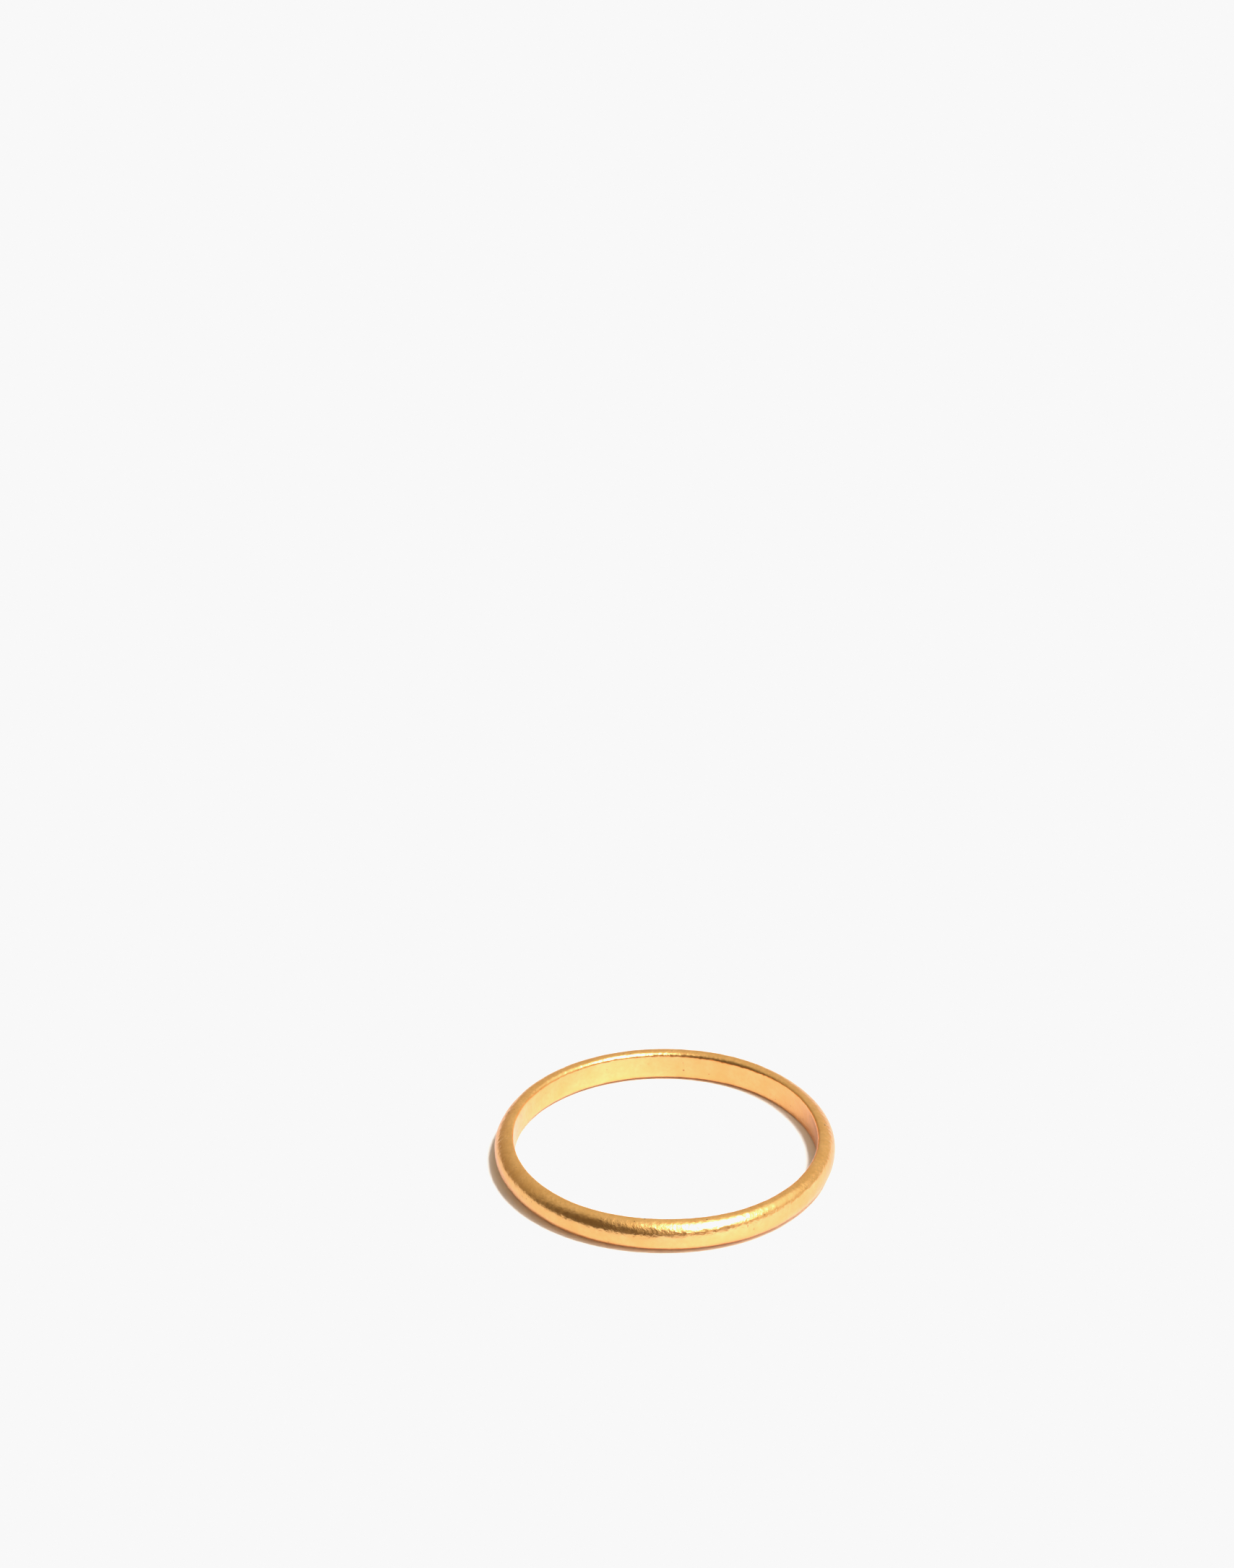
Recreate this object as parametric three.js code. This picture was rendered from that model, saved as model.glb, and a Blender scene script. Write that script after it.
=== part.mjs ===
import * as THREE from 'three';

// A thin plain finger ring lying on its side. The band has a straight bore, rounded inner edges, narrow flat
// sides and a softly domed outside. Millimetres, +Z up along the finger's axis. The origin is under the middle
// of the finger hole, on the surface that the ring lies on.

// Driving dimensions
const boreRadius = 8.65;
const bandWidth = 1.82;
const wallThickness = 0.94;
const innerEdgeRadius = 0.26;
const sideFlatWidth = 0.08;

// Exponents of the outside's section, where 2 and 2 would be half an ellipse. The lower side one lets the
// surface fall away as soon as it leaves the flat, and the higher crown one keeps the middle straighter.
const sideFullness = 1.6;
const crownFullness = 2.4;

// Satin gold, as a colour in sRGB
const bandColour = '#e6b36e';
const bandRoughness = 0.36;

// A hand-filed band isn't quite even. Each row holds its shares of the wall, of the inner edge's radius and of
// the bore's radius. The wall is measured from the even bore, so a smaller bore makes the band thicker there.
// The rows are equal steps round the ring, from +X towards +Y, and the band passes smoothly through them.
const handFinish = [
  { wallShare: 1.08, edgeShare: 0.91, boreShare: 1.0 },
  { wallShare: 1.1, edgeShare: 0.6, boreShare: 1.0 },
  { wallShare: 1.08, edgeShare: 0.92, boreShare: 1.0 },
  { wallShare: 0.97, edgeShare: 1.15, boreShare: 1.0 },
  { wallShare: 1.09, edgeShare: 1.17, boreShare: 1.0 },
  { wallShare: 1.02, edgeShare: 0.96, boreShare: 0.998 },
  { wallShare: 1.08, edgeShare: 0.66, boreShare: 0.99 },
  { wallShare: 1.03, edgeShare: 0.6, boreShare: 0.995 },
  { wallShare: 1.0, edgeShare: 0.9, boreShare: 1.0 },
  { wallShare: 0.97, edgeShare: 0.75, boreShare: 1.0 },
  { wallShare: 1.05, edgeShare: 1.25, boreShare: 1.0 },
  { wallShare: 1.01, edgeShare: 1.1, boreShare: 1.0 },
];

// Facets
const stepsAround = 96;
const stepsInEdge = 4;
const stepsInDome = 16;

const finishRound = new THREE.CatmullRomCurve3(
  handFinish.map((row) => new THREE.Vector3(row.wallShare, row.edgeShare, row.boreShare)),
  true,
  'catmullrom',
);

// The section at one place round the ring, as points of radius and height. It goes up the outside from the
// lower flat to the upper one, over the upper inner edge, down the bore and round the lower inner edge.
function bandSection(turn) {
  const share = finishRound.getPoint(turn);
  const wall = wallThickness * share.x;
  const edge = innerEdgeRadius * share.y;
  const bore = boreRadius * share.z;
  const halfWidth = bandWidth / 2;
  const flatStart = bore + edge;
  const domeStart = flatStart + sideFlatWidth;
  const domeRise = boreRadius + wall - domeStart;
  const section = [];

  for (let step = 0; step <= stepsInDome; step += 1) {
    const angle = Math.PI * (step / stepsInDome - 0.5);
    const outwards = Math.abs(Math.cos(angle)) ** (2 / sideFullness);
    const upwards = Math.sign(angle) * Math.abs(Math.sin(angle)) ** (2 / crownFullness);
    // The cosine at the two ends isn't exactly nought
    const radius = step % stepsInDome === 0 ? domeStart : domeStart + domeRise * outwards;
    section.push(new THREE.Vector2(radius, halfWidth + halfWidth * upwards));
  }
  for (let step = 0; step <= stepsInEdge; step += 1) {
    const angle = (Math.PI / 2) * (1 + step / stepsInEdge);
    section.push(new THREE.Vector2(
      flatStart + edge * Math.cos(angle),
      bandWidth - edge + edge * Math.sin(angle),
    ));
  }
  for (let step = 0; step <= stepsInEdge; step += 1) {
    const angle = Math.PI + (Math.PI / 2) * (step / stepsInEdge);
    section.push(new THREE.Vector2(
      flatStart + edge * Math.cos(angle),
      edge + edge * Math.sin(angle),
    ));
  }
  return section;
}

// Joins the sections round the ring into one closed skin of triangles
function bandGeometry() {
  const positions = [];
  for (let around = 0; around < stepsAround; around += 1) {
    const turn = around / stepsAround;
    const angle = 2 * Math.PI * turn;
    for (const point of bandSection(turn)) {
      positions.push(point.x * Math.cos(angle), point.x * Math.sin(angle), point.y);
    }
  }

  const pointsInSection = positions.length / 3 / stepsAround;
  const indices = [];
  for (let around = 0; around < stepsAround; around += 1) {
    const here = around * pointsInSection;
    const next = ((around + 1) % stepsAround) * pointsInSection;
    for (let point = 0; point < pointsInSection; point += 1) {
      const after = (point + 1) % pointsInSection;
      indices.push(here + point, next + point, next + after);
      indices.push(here + point, next + after, here + after);
    }
  }

  const geometry = new THREE.BufferGeometry();
  geometry.setAttribute('position', new THREE.Float32BufferAttribute(positions, 3));
  geometry.setIndex(indices);
  geometry.computeVertexNormals();
  return geometry;
}

const satinGold = new THREE.MeshStandardMaterial({
  color: bandColour,
  roughness: bandRoughness,
  metalness: 1,
});

const band = new THREE.Mesh(bandGeometry(), satinGold);
band.name = 'band';

const ring = new THREE.Group();
ring.add(band);

export default ring;
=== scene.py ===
import math
import random

import bpy
import numpy as np
from mathutils import Matrix, Vector, noise


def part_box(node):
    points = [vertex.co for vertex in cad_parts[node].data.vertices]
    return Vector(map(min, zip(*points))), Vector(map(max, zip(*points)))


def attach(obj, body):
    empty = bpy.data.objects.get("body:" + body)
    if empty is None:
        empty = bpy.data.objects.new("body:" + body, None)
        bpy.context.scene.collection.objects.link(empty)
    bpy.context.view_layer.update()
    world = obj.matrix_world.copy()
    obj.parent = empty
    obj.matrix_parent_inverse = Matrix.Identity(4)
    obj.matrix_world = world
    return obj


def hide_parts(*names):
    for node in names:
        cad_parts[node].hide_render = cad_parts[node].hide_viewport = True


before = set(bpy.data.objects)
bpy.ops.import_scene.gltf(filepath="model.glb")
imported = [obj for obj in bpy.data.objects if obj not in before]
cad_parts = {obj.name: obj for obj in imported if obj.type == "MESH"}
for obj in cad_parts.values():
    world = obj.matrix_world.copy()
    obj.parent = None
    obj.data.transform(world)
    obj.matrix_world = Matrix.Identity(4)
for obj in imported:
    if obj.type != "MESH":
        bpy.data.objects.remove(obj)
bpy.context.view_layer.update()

MM = 0.001

# The band's section, as in the construction
BORE_RADIUS = 8.65 * MM
WALL_THICKNESS = 0.94 * MM
INNER_EDGE_RADIUS = 0.26 * MM
SIDE_FLAT_WIDTH = 0.08 * MM
SIDE_FULLNESS = 1.6
CROWN_FULLNESS = 2.4
BAND_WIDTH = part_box("band")[1].z

# How far the outside's crown lies under the middle of the width, times its share
CROWN_DROP = 0.19 * MM

# The hand finish, as shares at equal steps round from +X towards +Y: of the wall, of the inner edge's
# radius, of the bore's radius, of the side's flat and of the crown's drop
WALL_SHARES = (1.08, 1.1, 1.08, 0.97, 1.09, 1.02, 1.08, 1.03, 1.0, 0.97, 1.05, 1.01)
EDGE_SHARES = (0.91, 0.7, 1.35, 1.3, 1.17, 1.2, 0.66, 0.6, 0.75, 0.65, 1.25, 1.1)
BORE_SHARES = (1.0, 1.0, 1.0, 1.0, 1.0, 0.998, 0.99, 0.995, 1.0, 1.0, 1.0, 1.0)
FLAT_SHARES = (1.0, 1.0, 1.0, 1.0, 1.0, 1.0, 1.0, 0.7, 0.1, 0.1, 1.0, 1.0)
DROP_SHARES = (0.0, 0.0, 0.0, 0.0, 0.0, 0.0, 0.0, 0.0, 0.55, 0.9, 0.4, 0.0)

# The fine mesh, and the points of the curves that its section is taken from
STEPS_AROUND = 1000
POINTS_IN_SECTION = 96
DOME_POINTS = 241
EDGE_POINTS = 41

# The camera: a long lens, aimed a little to the left of and above the ring
LENS = 100.0
SENSOR = 36.0
CAMERA_DISTANCE = 248.55 * MM
CAMERA_ELEVATION = math.radians(32.85)
CAMERA_PAN = math.radians(0.645)
CAMERA_TILT = math.radians(4.929)
CAMERA_ROLL = math.radians(-0.23)
CAMERA_CLIP = (0.01, 10.0)

# Waves of the surface as (wavelength, depth), waves of the inner edge as (wavelength, share of its radius),
# and dents with the least and the greatest of their sizes
WAVES = ((1.6 * MM, 0.009 * MM), (0.6 * MM, 0.0035 * MM), (0.28 * MM, 0.0015 * MM))
EDGE_WAVES = ((1.1 * MM, 0.1), (0.4 * MM, 0.05))
SURFACE_SEED = 1
EDGE_SEED = 7
SEED_SHIFT = (17.0, 5.0, 11.0)
DENTS = 110
DENT_SEED = 4
DENT_RADIUS = (0.12 * MM, 0.26 * MM)
DENT_DEPTH = (0.002 * MM, 0.008 * MM)

# Satin gold, as linear colours
GOLD_DEEP = (0.88, 0.475, 0.175, 1.0)
GOLD_PALE = (0.95, 0.54, 0.225, 1.0)
GOLD_GRAIN = (0.8, 0.44, 0.165, 1.0)
GOLD_GRAZING = (0.95, 0.85, 0.95, 1.0)
PIT_COLOUR = (0.2, 0.1, 0.04, 1.0)
# The noises of its finish, as repeats per millimetre, detail and roughness
MOTTLE = (1.1, 3.0, 0.55)
CLOUD = (2.3, 2.0, 0.5)
GRAIN = (3.6, 3.0, 0.6)
SPECKLE = (5.0, 2.0, 0.6)
PITS = (6.0, 0.0, 0.5)
# The two values of a noise between which its effect grows, and from what to what
MOTTLE_SHARE = (0.35, 0.65, 0.0, 1.0)
SPECKLE_SHARE = (0.35, 0.7, 0.0, 0.6)
PIT_SHARE = (0.82, 0.85, 0.0, 0.6)
ROUGHNESS = (0.3, 0.7, 0.2, 0.27)
# Dimples and polishing streaks per millimetre, the latter across and along the band
DIMPLES_PER_MM = 3.2
STREAKS_PER_MM = 16.0
STREAKS_ALONG = 0.5
# How deep the bumps are
GRAIN_DEPTH = 0.026 * MM
STREAK_DEPTH = 0.0006 * MM
DIMPLE_DEPTH = 0.01 * MM

# Light: each lamp is given by where it stands, how wide it is and how bright its face looks
LAMP_DISTANCE = 2.0
SOFTBOX = {"azimuth": -54.0, "elevation": 46.0, "side": 1.25, "radiance": 8.0}
DOWNLIGHT = {"azimuth": -28.0, "elevation": 69.0, "side": 0.28, "radiance": 125.0}
FILL = {"azimuth": -20.0, "elevation": 58.0, "side": 2.0, "radiance": 1.35}
# The room as patches: azimuth, elevation, full and faded radius in degrees, and colour
ROOM_COLOUR = (0.73, 0.69, 0.52)
ROOM_PATCHES = (
    (0.0, 90.0, 10.0, 50.0, (0.8, 0.79, 0.64)),
    (-5.0, 40.0, 8.0, 38.0, (1.35, 1.35, 1.2)),
    (-64.0, 44.0, 12.0, 46.0, (2.2, 2.1, 1.8)),
    (-108.0, 50.0, 6.0, 23.0, (2.0, 1.9, 1.5)),
    (150.0, 5.0, 10.0, 60.0, (0.42, 0.35, 0.23)),
    (228.0, 8.0, 28.0, 72.0, (0.15, 0.12, 0.07)),
    (-58.0, 3.0, 10.0, 27.0, (0.28, 0.23, 0.14)),
    (-85.0, 2.0, 8.0, 28.0, (0.2, 0.16, 0.1)),
    (60.0, 12.0, 8.0, 34.0, (0.85, 0.81, 0.6)),
)
# The glow that only the floor's sheen adds to the band's reflections, given in the same way, and the number
# of glossy bounces that tells it from the others
SHEEN_PATCH = (-15.0, 33.0, 10.0, 100.0, (3.5, 3.15, 3.9))
SHEEN_BOUNCES = 1.5
# The pale paper of the floor
FLOOR_ALBEDO = 0.85
FLOOR_ROUGHNESS = 0.5
FLOOR_SPECULAR = 0.9
FLOOR_RADIUS = 0.5
FLOOR_SIDES = 64
# The room's light on the floor
ROOM_ON_FLOOR = (0.32, 0.255, 0.18)
# How much brighter the camera sees the floor than the ring does, as an overexposed sweep of paper, and how
# bright the camera sees the room
FLOOR_GAIN = 1.22
CAMERA_BACKDROP = 1.3
# Where the picture's white lies, where the curve starts to bend towards it, and which curve that is
WHITE = 0.939
WHITE_STARTS = 0.86
COMBINED_CURVE = 3


def direction(azimuth, elevation):
    """A unit vector; azimuth runs from +X towards +Y."""
    flat = math.cos(elevation)
    return Vector((flat * math.cos(azimuth), flat * math.sin(azimuth), math.sin(elevation)))


def grey(value):
    return (value, value, value, 1.0)


def make_camera():
    """The camera looks at the ring's foot from the front, then turns by its pan, tilt and roll."""
    place = direction(math.radians(-90.0), CAMERA_ELEVATION) * CAMERA_DISTANCE
    ahead = -place.normalized()
    right = Vector((1.0, 0.0, 0.0))
    up = right.cross(ahead)
    pan = Matrix.Rotation(CAMERA_PAN, 3, up)
    ahead, right = pan @ ahead, pan @ right
    tilt = Matrix.Rotation(CAMERA_TILT, 3, right)
    ahead, up = tilt @ ahead, tilt @ up
    roll = Matrix.Rotation(CAMERA_ROLL, 3, ahead)
    right, up = roll @ right, roll @ up
    data = bpy.data.cameras.new("camera")
    data.lens = LENS
    data.sensor_width = SENSOR
    data.clip_start, data.clip_end = CAMERA_CLIP
    camera = bpy.data.objects.new("camera", data)
    turn = Matrix((right, up, -ahead)).transposed()
    camera.matrix_world = Matrix.Translation(place) @ turn.to_4x4()
    bpy.context.scene.collection.objects.link(camera)
    bpy.context.scene.camera = camera


def round_the_ring(shares, turns):
    """A smooth closed curve through equally spaced shares."""
    shares = np.asarray(shares)
    places = turns * len(shares)
    before = np.floor(places).astype(int)
    part = places - before
    p0, p1, p2, p3 = (shares[(before + step) % len(shares)] for step in (-1, 0, 1, 2))
    return 0.5 * (
        2.0 * p1
        + (p2 - p0) * part
        + (2.0 * p0 - 5.0 * p1 + 4.0 * p2 - p3) * part**2
        + (3.0 * p1 - p0 - 3.0 * p2 + p3) * part**3
    )


def band_section(wall, edge, bore, flat, drop):
    """Radius and height round one section: up the outside, over the top, down the bore."""
    half = BAND_WIDTH / 2.0
    flat_start = bore + edge
    dome_start = flat_start + flat
    dome_rise = BORE_RADIUS + wall - dome_start
    angle = np.radians(np.linspace(-90.0, 90.0, DOME_POINTS))
    outwards = np.clip(np.cos(angle), 0.0, 1.0) ** (2.0 / SIDE_FULLNESS)
    upwards = np.sign(angle) * np.abs(np.sin(angle)) ** (2.0 / CROWN_FULLNESS)
    heights = half + half * upwards
    heights -= drop * heights * (BAND_WIDTH - heights) / half**2
    dome = np.stack([dome_start + dome_rise * outwards, heights], 1)
    turn = np.radians(np.linspace(90.0, 180.0, EDGE_POINTS))
    upper = np.stack([flat_start + edge * np.cos(turn), BAND_WIDTH - edge + edge * np.sin(turn)], 1)
    turn += math.pi / 2.0
    lower = np.stack([flat_start + edge * np.cos(turn), edge + edge * np.sin(turn)], 1)
    path = np.concatenate([dome, upper, lower, dome[:1]])
    along = np.concatenate([[0.0], np.cumsum(np.hypot(*np.diff(path, axis=0).T))])
    spots = np.linspace(0.0, along[-1], POINTS_IN_SECTION, endpoint=False)
    return np.stack([np.interp(spots, along, path[:, column]) for column in (0, 1)], 1)


def band_surface():
    """Points of the smooth band, as rows round the ring and columns round the section."""
    turns = np.arange(STEPS_AROUND) / STEPS_AROUND
    walls = WALL_THICKNESS * round_the_ring(WALL_SHARES, turns)
    edges = INNER_EDGE_RADIUS * round_the_ring(EDGE_SHARES, turns)
    angles = 2.0 * math.pi * turns
    circle = BORE_RADIUS * np.stack([np.cos(angles), np.sin(angles), np.zeros(STEPS_AROUND)], 1)
    for seed, (wavelength, share) in enumerate(EDGE_WAVES):
        edges *= 1.0 + share * value_noise(circle, wavelength, seed + EDGE_SEED)
    bores = BORE_RADIUS * round_the_ring(BORE_SHARES, turns)
    drops = CROWN_DROP * round_the_ring(DROP_SHARES, turns)
    flats = SIDE_FLAT_WIDTH * np.clip(round_the_ring(FLAT_SHARES, turns), 0.0, None)
    sections = np.stack([band_section(*sizes) for sizes in zip(walls, edges, bores, flats, drops)])
    angles = angles[:, None]
    radii, heights = sections[..., 0], sections[..., 1]
    return np.stack([radii * np.cos(angles), radii * np.sin(angles), heights], -1)


def outward_normals(points):
    """Unit normals of the closed grid of points."""
    along = np.roll(points, -1, 0) - np.roll(points, 1, 0)
    across = np.roll(points, -1, 1) - np.roll(points, 1, 1)
    normals = np.cross(along, across)
    return normals / np.linalg.norm(normals, axis=-1, keepdims=True)


def value_noise(points, wavelength, seed):
    """Noise from -1 to 1 at each point."""
    offset = Vector(SEED_SHIFT) * seed
    places = points.reshape(-1, 3) / wavelength
    values = [noise.noise(Vector(place) + offset) for place in places.tolist()]
    return np.asarray(values).reshape(points.shape[:-1])


def relief(points):
    """How deep each point lies under the even surface: waves of the file and the wheel, and dents."""
    depth = np.zeros(points.shape[:2])
    for seed, (wavelength, wave_depth) in enumerate(WAVES):
        depth += wave_depth * 0.5 * (1.0 + value_noise(points, wavelength, seed + SURFACE_SEED))
    chance = random.Random(DENT_SEED)
    for _ in range(DENTS):
        centre = points[chance.randrange(points.shape[0]), chance.randrange(points.shape[1])]
        radius = chance.uniform(*DENT_RADIUS)
        away = np.linalg.norm(points - centre, axis=-1) / radius
        depth += chance.uniform(*DENT_DEPTH) * np.clip(1.0 - away**2, 0.0, 1.0) ** 2
    return depth


def make_band():
    points = band_surface()
    points -= relief(points)[..., None] * outward_normals(points)
    rows, columns = points.shape[:2]
    index = np.arange(rows * columns).reshape(rows, columns)
    after = np.roll(index, -1, 0)
    faces = np.stack([index, after, np.roll(after, -1, 1), np.roll(index, -1, 1)], -1).reshape(-1, 4)
    mesh = bpy.data.meshes.new("satin_band")
    mesh.from_pydata(points.reshape(-1, 3).tolist(), [], faces.tolist())
    mesh.validate()
    mesh.shade_smooth()
    band = bpy.data.objects.new("satin_band", mesh)
    bpy.context.scene.collection.objects.link(band)
    mesh.materials.append(satin_gold())
    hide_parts("band")
    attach(band, "root")


class Nodes:
    """Short names for building a material's nodes."""

    def __init__(self, tree):
        self.tree = tree

    def new(self, kind, inputs=(), **settings):
        node = self.tree.nodes.new(kind)
        for name, value in settings.items():
            setattr(node, name, value)
        for name, value in dict(inputs).items():
            if isinstance(value, bpy.types.NodeSocket):
                self.tree.links.new(value, node.inputs[name])
            else:
                node.inputs[name].default_value = value
        return node

    def noise(self, place, per_mm, detail, rough):
        inputs = {"Vector": place, "Scale": per_mm, "Detail": detail, "Roughness": rough}
        return self.new("ShaderNodeTexNoise", inputs).outputs["Fac"]

    def spread(self, value, low, high, to_low, to_high):
        ends = {"From Min": low, "From Max": high, "To Min": to_low, "To Max": to_high}
        inputs = {"Value": value, **ends}
        return self.new("ShaderNodeMapRange", inputs).outputs["Result"]

    def mix(self, share, first, second):
        inputs = {"Factor": share, "A": first, "B": second}
        node = self.new("ShaderNodeMix", data_type="RGBA")
        for name, value in inputs.items():
            socket = [one for one in node.inputs if one.name == name and one.enabled][0]
            if isinstance(value, bpy.types.NodeSocket):
                self.tree.links.new(value, socket)
            else:
                socket.default_value = value
        return [one for one in node.outputs if one.enabled][0]


def satin_gold():
    """Satin gold plate: mottled colour, grain, dimples, marks that run round, and a few dark pits."""
    material = bpy.data.materials.new("satin_gold")
    material.use_nodes = True
    tree = material.node_tree
    make = Nodes(tree)
    shader = tree.nodes["Principled BSDF"]

    def vector(operation, *values, **inputs):
        inputs = {**dict(enumerate(values)), **inputs}
        return make.new("ShaderNodeVectorMath", inputs, operation=operation).outputs

    metres = make.new("ShaderNodeTexCoord").outputs["Object"]
    place = vector("SCALE", metres, Scale=1.0 / MM)["Vector"]

    mottle = make.spread(make.noise(place, *MOTTLE), *MOTTLE_SHARE)
    speckle = make.spread(make.noise(place, *SPECKLE), *SPECKLE_SHARE)
    pits = make.spread(make.noise(place, *PITS), *PIT_SHARE)
    colour = make.mix(mottle, GOLD_DEEP, GOLD_PALE)
    colour = make.mix(speckle, colour, GOLD_GRAIN)
    colour = make.mix(pits, colour, PIT_COLOUR)
    tree.links.new(colour, shader.inputs["Base Color"])

    cloud = make.spread(make.noise(place, *CLOUD), *ROUGHNESS)
    tree.links.new(cloud, shader.inputs["Roughness"])
    shader.inputs["Metallic"].default_value = 1.0
    shader.inputs["Specular Tint"].default_value = GOLD_GRAZING

    # The streaks change quickly with height and radius, and slowly along the band
    along = vector("MULTIPLY", place, (STREAKS_ALONG, STREAKS_ALONG, STREAKS_PER_MM))["Vector"]
    level = vector("MULTIPLY", place, (1.0, 1.0, 0.0))["Vector"]
    radius = {0: vector("LENGTH", level)["Value"], 1: STREAKS_PER_MM}
    across = make.new("ShaderNodeMath", radius, operation="MULTIPLY").outputs["Value"]
    inputs = {"Vector": along, "W": across, "Scale": 1.0}
    streak = make.new("ShaderNodeTexNoise", inputs, noise_dimensions="4D").outputs["Fac"]
    grain = make.noise(place, *GRAIN)
    inputs = {"Vector": place, "Scale": DIMPLES_PER_MM}
    dimples = make.new("ShaderNodeTexVoronoi", inputs).outputs["Distance"]
    inputs = {}
    for height, depth in ((streak, STREAK_DEPTH), (grain, GRAIN_DEPTH), (dimples, DIMPLE_DEPTH)):
        bump = make.new("ShaderNodeBump", {"Height": height, "Distance": depth, **inputs})
        inputs = {"Normal": bump.outputs["Normal"]}
    tree.links.new(inputs["Normal"], shader.inputs["Normal"])
    return material


def make_floor():
    mesh = bpy.data.meshes.new("floor")
    turns = [2.0 * math.pi * side / FLOOR_SIDES for side in range(FLOOR_SIDES)]
    corners = [direction(turn, 0.0) * FLOOR_RADIUS for turn in turns]
    mesh.from_pydata(corners, [], [tuple(range(FLOOR_SIDES))])
    floor = bpy.data.objects.new("floor", mesh)
    bpy.context.scene.collection.objects.link(floor)
    material = bpy.data.materials.new("pale_floor")
    material.use_nodes = True
    tree = material.node_tree
    make = Nodes(tree)
    paper = tree.nodes["Principled BSDF"]
    paper.inputs["Base Color"].default_value = grey(FLOOR_ALBEDO)
    paper.inputs["Roughness"].default_value = FLOOR_ROUGHNESS
    paper.inputs["Specular IOR Level"].default_value = FLOOR_SPECULAR
    overexposed = make.new("ShaderNodeBsdfDiffuse", {"Color": grey(FLOOR_ALBEDO * FLOOR_GAIN)})
    seen = make.new("ShaderNodeLightPath").outputs["Is Camera Ray"]
    both = make.new("ShaderNodeMixShader", {0: seen, 1: paper.outputs[0], 2: overexposed.outputs[0]})
    tree.links.new(both.outputs[0], tree.nodes["Material Output"].inputs["Surface"])
    mesh.materials.append(material)


def make_lamp(name, azimuth, elevation, side, radiance):
    """A square lamp that faces the ring and that the camera doesn't see."""
    data = bpy.data.lights.new(name, "AREA")
    data.shape = "SQUARE"
    data.size = side
    data.energy = radiance * math.pi * side**2
    lamp = bpy.data.objects.new(name, data)
    place = direction(math.radians(azimuth), math.radians(elevation)) * LAMP_DISTANCE
    lamp.location = place
    lamp.rotation_mode = "QUATERNION"
    lamp.rotation_quaternion = (-place).to_track_quat("-Z", "Y")
    lamp.visible_camera = False
    bpy.context.scene.collection.objects.link(lamp)
    return lamp


def make_room():
    """A soft room made of patches, which the band reflects. An even one lights the floor, and the camera
    sees it white, as it sees the floor."""
    world = bpy.data.worlds.new("room")
    world.use_nodes = True
    bpy.context.scene.world = world
    tree = world.node_tree
    tree.nodes.clear()
    make = Nodes(tree)
    towards = make.new("ShaderNodeTexCoord").outputs["Generated"]
    path = make.new("ShaderNodeLightPath").outputs

    def add_patch(under, azimuth, elevation, full, faded, patch_colour):
        centre = direction(math.radians(azimuth), math.radians(elevation))
        near = make.new("ShaderNodeVectorMath", {0: towards, 1: centre}, operation="DOT_PRODUCT")
        angle = make.new("ShaderNodeMath", {0: near.outputs["Value"]}, operation="ARCCOSINE")
        share = make.spread(angle.outputs["Value"], math.radians(faded), math.radians(full), 0.0, 1.0)
        share.node.interpolation_type = "SMOOTHSTEP"
        return make.mix(share, under, (*patch_colour, 1.0))

    colour = (*ROOM_COLOUR, 1.0)
    for patch in ROOM_PATCHES:
        colour = add_patch(colour, *patch)
    bounces = {0: path["Glossy Depth"], 1: SHEEN_BOUNCES}
    in_floor = make.new("ShaderNodeMath", bounces, operation="GREATER_THAN").outputs[0]
    colour = make.mix(in_floor, colour, add_patch((*ROOM_COLOUR, 1.0), *SHEEN_PATCH))
    room = make.new("ShaderNodeBackground", {"Color": colour})
    even = make.new("ShaderNodeBackground", {"Color": (*ROOM_ON_FLOOR, 1.0)})
    white = make.new("ShaderNodeBackground", {"Color": grey(CAMERA_BACKDROP)})
    seen = room.outputs[0]
    for ray, instead in (("Is Diffuse Ray", even), ("Is Camera Ray", white)):
        seen = make.new("ShaderNodeMixShader", {0: path[ray], 1: seen, 2: instead.outputs[0]}).outputs[0]
    make.new("ShaderNodeOutputWorld", {"Surface": seen})


def set_white():
    """Holds the picture's white just under full, as a scanned or exported photograph has it."""
    view = bpy.context.scene.view_settings
    view.view_transform = "Standard"
    view.use_curve_mapping = True
    mapping = view.curve_mapping
    mapping.extend = "HORIZONTAL"
    curve = mapping.curves[COMBINED_CURVE]
    curve.points[-1].location = (1.0, WHITE)
    curve.points.new(WHITE_STARTS, WHITE_STARTS)
    for point in curve.points:
        point.handle_type = "VECTOR"
    mapping.update()


make_camera()
make_band()
make_floor()
softbox = make_lamp("softbox", **SOFTBOX)
softbox.visible_diffuse = False
downlight = make_lamp("downlight", **DOWNLIGHT)
downlight.visible_glossy = False
fill = make_lamp("fill", **FILL)
fill.visible_glossy = False
make_room()
set_white()
